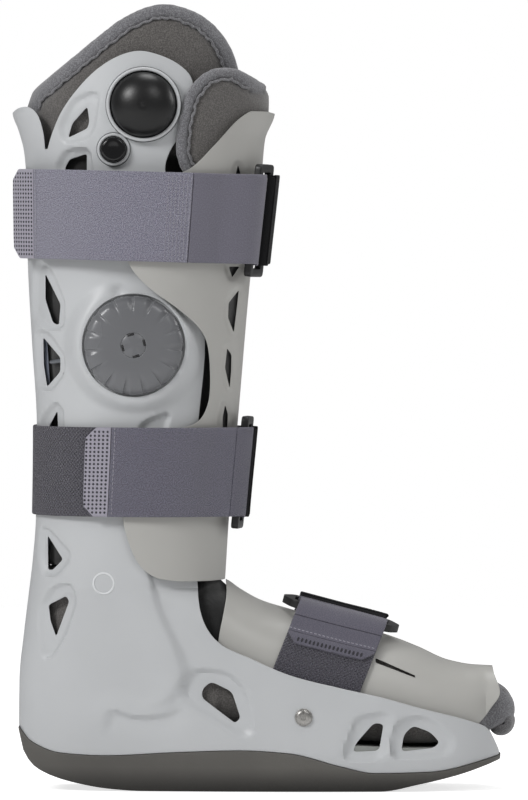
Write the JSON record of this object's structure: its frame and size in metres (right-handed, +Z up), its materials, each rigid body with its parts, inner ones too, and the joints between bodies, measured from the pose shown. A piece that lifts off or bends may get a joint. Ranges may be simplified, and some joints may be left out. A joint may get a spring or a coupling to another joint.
{
  "type": "ankle foot orthosis",
  "caption": "Pneumatic walking boot with rigid front, rear and instep shells, rocker sole, padded liner, air pump, release button, selector dial and hook-and-loop straps.",
  "frame": {"origin": "on the flat of the rocker sole, in the shells' plane of symmetry, under the middle of the flat", "axes": "+Z up the leg, +X towards the toes, -Y towards the lateral side that carries the pump, release button and dial"},
  "size_m": [0.288, 0.1548, 0.449],
  "materials": {
    "shell": "satin moulded plastic",
    "sole_rubber": "matt rubber",
    "footbed_foam": "soft foam",
    "liner_fabric": "brushed heather fabric on foam",
    "air_cell_film": "soft plastic film",
    "bulb_rubber": "matt rubber",
    "black_plastic": "satin plastic",
    "button_plastic": "gloss plastic",
    "dial_plastic": "semi-gloss plastic",
    "steel": "brushed",
    "tubing": "clear vinyl tube",
    "strap_pile": "loop pile",
    "strap_webbing": "woven webbing",
    "keeper_webbing": "black coated webbing",
    "hook_fabric": "hook tape"
  },
  "bodies": {
    "boot": {"rear_shell": "shell", "pump_bezel": "shell", "release_collar": "shell", "outsole": "sole_rubber", "footbed": "footbed_foam", "liner_leg": "liner_fabric", "liner_foot": "liner_fabric", "liner_toe": "liner_fabric", "air_cell_lateral": "air_cell_film", "air_cell_medial": "air_cell_film", "air_cell_rear": "air_cell_film", "pump_cup": "black_plastic", "check_valve": "black_plastic", "release_seat": "black_plastic", "valve_body": "black_plastic", "release_spring": "steel", "foot_screw_lateral": "steel", "foot_screw_medial": "steel", "foot_washer_lateral": "steel", "foot_washer_medial": "steel", "foot_nut_lateral": "steel", "foot_nut_medial": "steel", "tube_pump": "tubing", "tube_release": "tubing", "tube_lateral": "tubing", "tube_rear": "tubing", "tube_medial": "tubing", "upper_strap_band": "strap_pile", "lower_strap_band": "strap_pile", "foot_strap_lateral": "strap_pile", "foot_strap_medial": "strap_pile", "foot_anchor_lateral": "strap_webbing", "foot_anchor_medial": "strap_webbing"},
    "front_panel": {"front_shell": "shell", "front_pad": "liner_fabric", "air_cell_front": "air_cell_film", "upper_strap_ring": "black_plastic", "upper_strap_ring_keeper": "keeper_webbing", "lower_strap_ring": "black_plastic", "lower_strap_ring_keeper": "keeper_webbing"},
    "upper_lead": {"upper_strap_lead": "strap_webbing"},
    "upper_tail": {"upper_strap_tail": "strap_webbing", "upper_strap_hook_tab": "hook_fabric"},
    "lower_lead": {"lower_strap_lead": "strap_webbing"},
    "lower_tail": {"lower_strap_tail": "strap_webbing", "lower_strap_hook_tab": "hook_fabric"},
    "instep": {"instep_shell": "shell", "foot_strap_ring": "black_plastic", "foot_strap_ring_keeper": "keeper_webbing", "foot_strap_lead": "strap_webbing"},
    "foot_tail": {"foot_strap_tail": "strap_webbing", "foot_strap_hook_tab": "hook_fabric"},
    "dial": {"selector_dial": "dial_plastic", "dial_hub": "dial_plastic", "valve_rotor": "black_plastic"},
    "bulb": {"pump_bulb": "bulb_rubber"},
    "button": {"release_button": "button_plastic"}
  },
  "joints": [
    {"name": "front_panel_forward", "type": "slide", "parent": "boot", "child": "front_panel", "axis": [0.8, 0, 0.6], "range_m": [0, 0.036], "deforming": ["upper_strap_band", "lower_strap_band"]},
    {"name": "upper_strap_open", "type": "hinge", "parent": "front_panel", "child": "upper_lead", "pos_m": [-0.00239, -0.04138, 0.32578], "axis": [0.1063, -0.0292, 0.9939], "range_deg": [0, 42]},
    {"name": "lower_strap_open", "type": "hinge", "parent": "front_panel", "child": "lower_lead", "pos_m": [-0.01017, -0.02254, 0.18154], "axis": [0.0992, -0.0135, 0.995], "range_deg": [0, 42]},
    {"name": "upper_strap_peel", "type": "hinge", "parent": "upper_lead", "child": "upper_tail", "pos_m": [-0.03798, -0.07041, 0.32727], "axis": [0.0546, -0.0654, 0.9964], "range_deg": [0, 85]},
    {"name": "lower_strap_peel", "type": "hinge", "parent": "lower_lead", "child": "lower_tail", "pos_m": [-0.01398, -0.03695, 0.18215], "axis": [0.0913, -0.0508, 0.9945], "range_deg": [0, 85]},
    {"name": "instep_panel_lift", "type": "slide", "parent": "boot", "child": "instep", "axis": [0.15, 0, 0.9887], "range_m": [0, 0.015], "deforming": ["foot_strap_lateral", "foot_strap_medial"]},
    {"name": "foot_strap_peel", "type": "hinge", "parent": "instep", "child": "foot_tail", "pos_m": [0.04586, -0.03712, 0.09466], "axis": [-0.956, 0.057, 0.2879], "range_deg": [0, 85]},
    {"name": "selector_dial_turn", "type": "hinge", "parent": "boot", "child": "dial", "pos_m": [-0.0707, -0.058, 0.2548], "axis": [0, -1, 0], "range_deg": [-135, 135]},
    {"name": "pump_bulb_press", "type": "slide", "parent": "boot", "child": "bulb", "axis": [0, 1, 0], "range_m": [0, 0.0065], "stiffness_N_per_m": 3000},
    {"name": "release_button_press", "type": "slide", "parent": "boot", "child": "button", "axis": [0, 1, 0], "range_m": [0, 0.0025], "stiffness_N_per_m": 2500, "deforming": ["release_spring"]}
  ],
  "couplings": [
    {"joint": "upper_strap_open", "follows": "front_panel_forward", "rad_per_m": 20},
    {"joint": "lower_strap_open", "follows": "front_panel_forward", "rad_per_m": 20}
  ]
}
